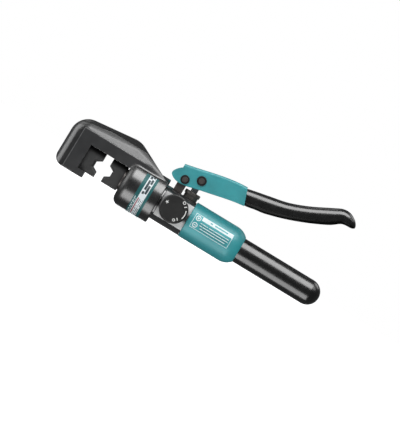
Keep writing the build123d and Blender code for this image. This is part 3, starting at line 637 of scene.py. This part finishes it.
def raised_mark(name, outline, hole=None):
    """Thin mark on the knob's face; outline and hole are (x, z) loops in mm about its centre."""
    knob_low, knob_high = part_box("valve_knob")
    centre_x = (knob_low.x + knob_high.x) / 2
    centre_z = (knob_low.z + knob_high.z) / 2
    bm = bmesh.new()

    def two_loops(points):
        """The loop in front of the knob's face and again just inside it."""
        return [
            [bm.verts.new((centre_x + x * MM, y, centre_z + z * MM)) for x, z in points]
            for y in (knob_low.y - MARK_PROUD, knob_low.y + MARK_SUNK)
        ]

    layers = two_loops(outline)
    count = len(outline)
    for i in range(count):
        j = (i + 1) % count
        bm.faces.new((layers[0][i], layers[0][j], layers[1][j], layers[1][i]))
    if hole is None:
        bm.faces.new(layers[0])
        bm.faces.new(layers[1])
    else:
        inner = two_loops(hole)
        for i in range(count):
            j = (i + 1) % count
            bm.faces.new((inner[0][i], inner[0][j], inner[1][j], inner[1][i]))
            for side in (0, 1):
                bm.faces.new((layers[side][i], layers[side][j], inner[side][j], inner[side][i]))
    return mesh_object(name, bm, MATERIALS["knob_mark"], "knob")


def circle_loop(cx, cz, radius, steps=24):
    angles = [2 * math.pi * i / steps for i in range(steps)]
    return [(cx + radius * math.cos(a), cz + radius * math.sin(a)) for a in angles]


def arc_loop(radius, half_width, start, end, steps=16):
    """Closed outline of an arc stroke round the knob's centre."""
    outer, inner = [], []
    for i in range(steps + 1):
        a = math.radians(start + (end - start) * i / steps)
        outer.append(((radius + half_width) * math.cos(a), (radius + half_width) * math.sin(a)))
        inner.append(((radius - half_width) * math.cos(a), (radius - half_width) * math.sin(a)))
    return outer + inner[::-1]


def turned_bar(cx, cz, half_length, half_width, angle):
    """Rectangle about a centre, turned by angle degrees."""
    c, s = math.cos(math.radians(angle)), math.sin(math.radians(angle))
    corners = []
    for along, across in ((-1, -1), (1, -1), (1, 1), (-1, 1)):
        u, v = along * half_length, across * half_width
        corners.append((cx + u * c - v * s, cz + u * s + v * c))
    return corners


def star_loop(cx, cz, outer, inner, points):
    loop = []
    for i in range(2 * points):
        radius = outer if i % 2 == 0 else inner
        a = math.pi * i / points
        loop.append((cx + radius * math.cos(a), cz + radius * math.sin(a)))
    return loop


def knob_marks():
    """Star as pointer, arc of travel, and a ring and a bar at each end of it."""
    raised_mark("knob_pointer", star_loop(-9.2, 2.9, 2.0, 0.8, 5))
    raised_mark("knob_arc", arc_loop(12.5, 0.5, -19, 22))
    raised_mark("knob_open_ring", circle_loop(6.2, 10.6, 1.7), circle_loop(6.2, 10.6, 0.95))
    raised_mark("knob_open_bar", turned_bar(9.3, 7.5, 1.5, 0.45, 42))
    raised_mark("knob_closed_ring", circle_loop(5.6, -9.3, 1.5), circle_loop(5.6, -9.3, 0.8))
    raised_mark("knob_closed_bar", turned_bar(8.2, -6.9, 1.4, 0.45, -48))


# ---------------------------------------------------------------- studio
def studio_floor():
    bm = bmesh.new()
    bmesh.ops.create_circle(bm, cap_ends=True, segments=96, radius=FLOOR_RADIUS)
    mesh = bpy.data.meshes.new("floor")
    bm.to_mesh(mesh)
    bm.free()
    floor = bpy.data.objects.new("floor", mesh)
    floor.location = (AIM.x, 0, cad_box[0].z - FLOOR_DROP)
    bpy.context.scene.collection.objects.link(floor)
    mesh.materials.append(floor_finish())
    floor.visible_glossy = False
    floor.visible_diffuse = False
    floor.visible_shadow = False


def softbox(name, azimuth, elevation, distance, width, height, radiance, reflect=True, light=True):
    """Rectangular light aimed at the tool; azimuth 0 is the knob side, 90 past the handle's end."""
    a = math.radians(azimuth)
    e = math.radians(elevation)
    away = Vector((math.sin(a) * math.cos(e), -math.cos(a) * math.cos(e), math.sin(e)))
    data = bpy.data.lights.new(name, "AREA")
    data.shape = "RECTANGLE"
    data.size = width
    data.size_y = height
    data.energy = radiance * math.pi * width * height
    lamp = bpy.data.objects.new(name, data)
    lamp.location = AIM + away * distance
    lamp.rotation_mode = "QUATERNION"
    lamp.rotation_quaternion = away.to_track_quat("Z", "Y")
    lamp.visible_camera = False
    lamp.visible_glossy = reflect
    lamp.visible_diffuse = light
    bpy.context.scene.collection.objects.link(lamp)


def studio_lights():
    """Softboxes that only show as reflections, and lamps that only light and cast shadows."""
    # azimuth, elevation in degrees; distance, width, height in metres; radiance
    softbox("top_strip", 0, 59, 1.3, 1.2, 1.1, 6.5, light=False)
    softbox("bottom_strip", 0, -55, 1.3, 1.2, 1.0, 3.9, light=False)
    softbox("left_strip", -80, 12, 1.3, 0.9, 1.2, 4.2, light=False)
    softbox("key", -36, 40, 1.7, 0.4, 0.4, 18.0, reflect=False)
    softbox("fill", 10, 0, 1.7, 1.8, 1.6, 1.25, reflect=False)
    softbox("back_key", 180, 50, 1.6, 1.4, 1.0, 1.8, reflect=False)
    for azimuth in (60, 130, -130):
        softbox(f"side_strip_{azimuth % 360}", azimuth, 48, 1.5, 0.7, 0.7, 1.7, light=False)


def studio_world():
    """White to the camera, soft grey light for everything else."""
    world = bpy.data.worlds.new("studio")
    world.use_nodes = True
    tree = world.node_tree
    tree.nodes.clear()
    path = tree.nodes.new("ShaderNodeLightPath")
    seen = tree.nodes.new("ShaderNodeBackground")
    seen.inputs["Color"].default_value = (1, 1, 1, 1)
    seen.inputs["Strength"].default_value = 1.0
    ambient = tree.nodes.new("ShaderNodeBackground")
    ambient.inputs["Color"].default_value = (0.95, 0.98, 1.0, 1)
    dimmer = tree.nodes.new("ShaderNodeMapRange")
    dimmer.inputs["To Min"].default_value = 0.42
    dimmer.inputs["To Max"].default_value = 0.10
    tree.links.new(path.outputs["Is Glossy Ray"], dimmer.inputs["Value"])
    tree.links.new(dimmer.outputs[0], ambient.inputs["Strength"])
    mix = tree.nodes.new("ShaderNodeMixShader")
    out = tree.nodes.new("ShaderNodeOutputWorld")
    tree.links.new(path.outputs["Is Camera Ray"], mix.inputs[0])
    tree.links.new(ambient.outputs[0], mix.inputs[1])
    tree.links.new(seen.outputs[0], mix.inputs[2])
    tree.links.new(mix.outputs[0], out.inputs["Surface"])
    bpy.context.scene.world = world


def camera():
    data = bpy.data.cameras.new("camera")
    data.lens = LENS
    data.sensor_width = SENSOR
    distance = PICTURE_HEIGHT * LENS / SENSOR
    right = Vector((math.cos(ROLL), 0, math.sin(ROLL)))
    up = Vector((-math.sin(ROLL), 0, math.cos(ROLL)))
    back = Vector((0, -1, 0))
    turn = Matrix((right, up, back)).transposed()
    eye = bpy.data.objects.new("camera", data)
    eye.location = AIM + back * distance
    eye.rotation_mode = "QUATERNION"
    eye.rotation_quaternion = turn.to_quaternion()
    data.clip_end = CAMERA_REACH
    bpy.context.scene.collection.objects.link(eye)
    bpy.context.scene.camera = eye


dress_cad_nodes()
shape_modifiers()
grip_cover()
throat_shade_strip()
spring_coil()
knob_marks()
studio_floor()
studio_lights()
studio_world()
camera()
bpy.context.scene.view_settings.view_transform = "Standard"
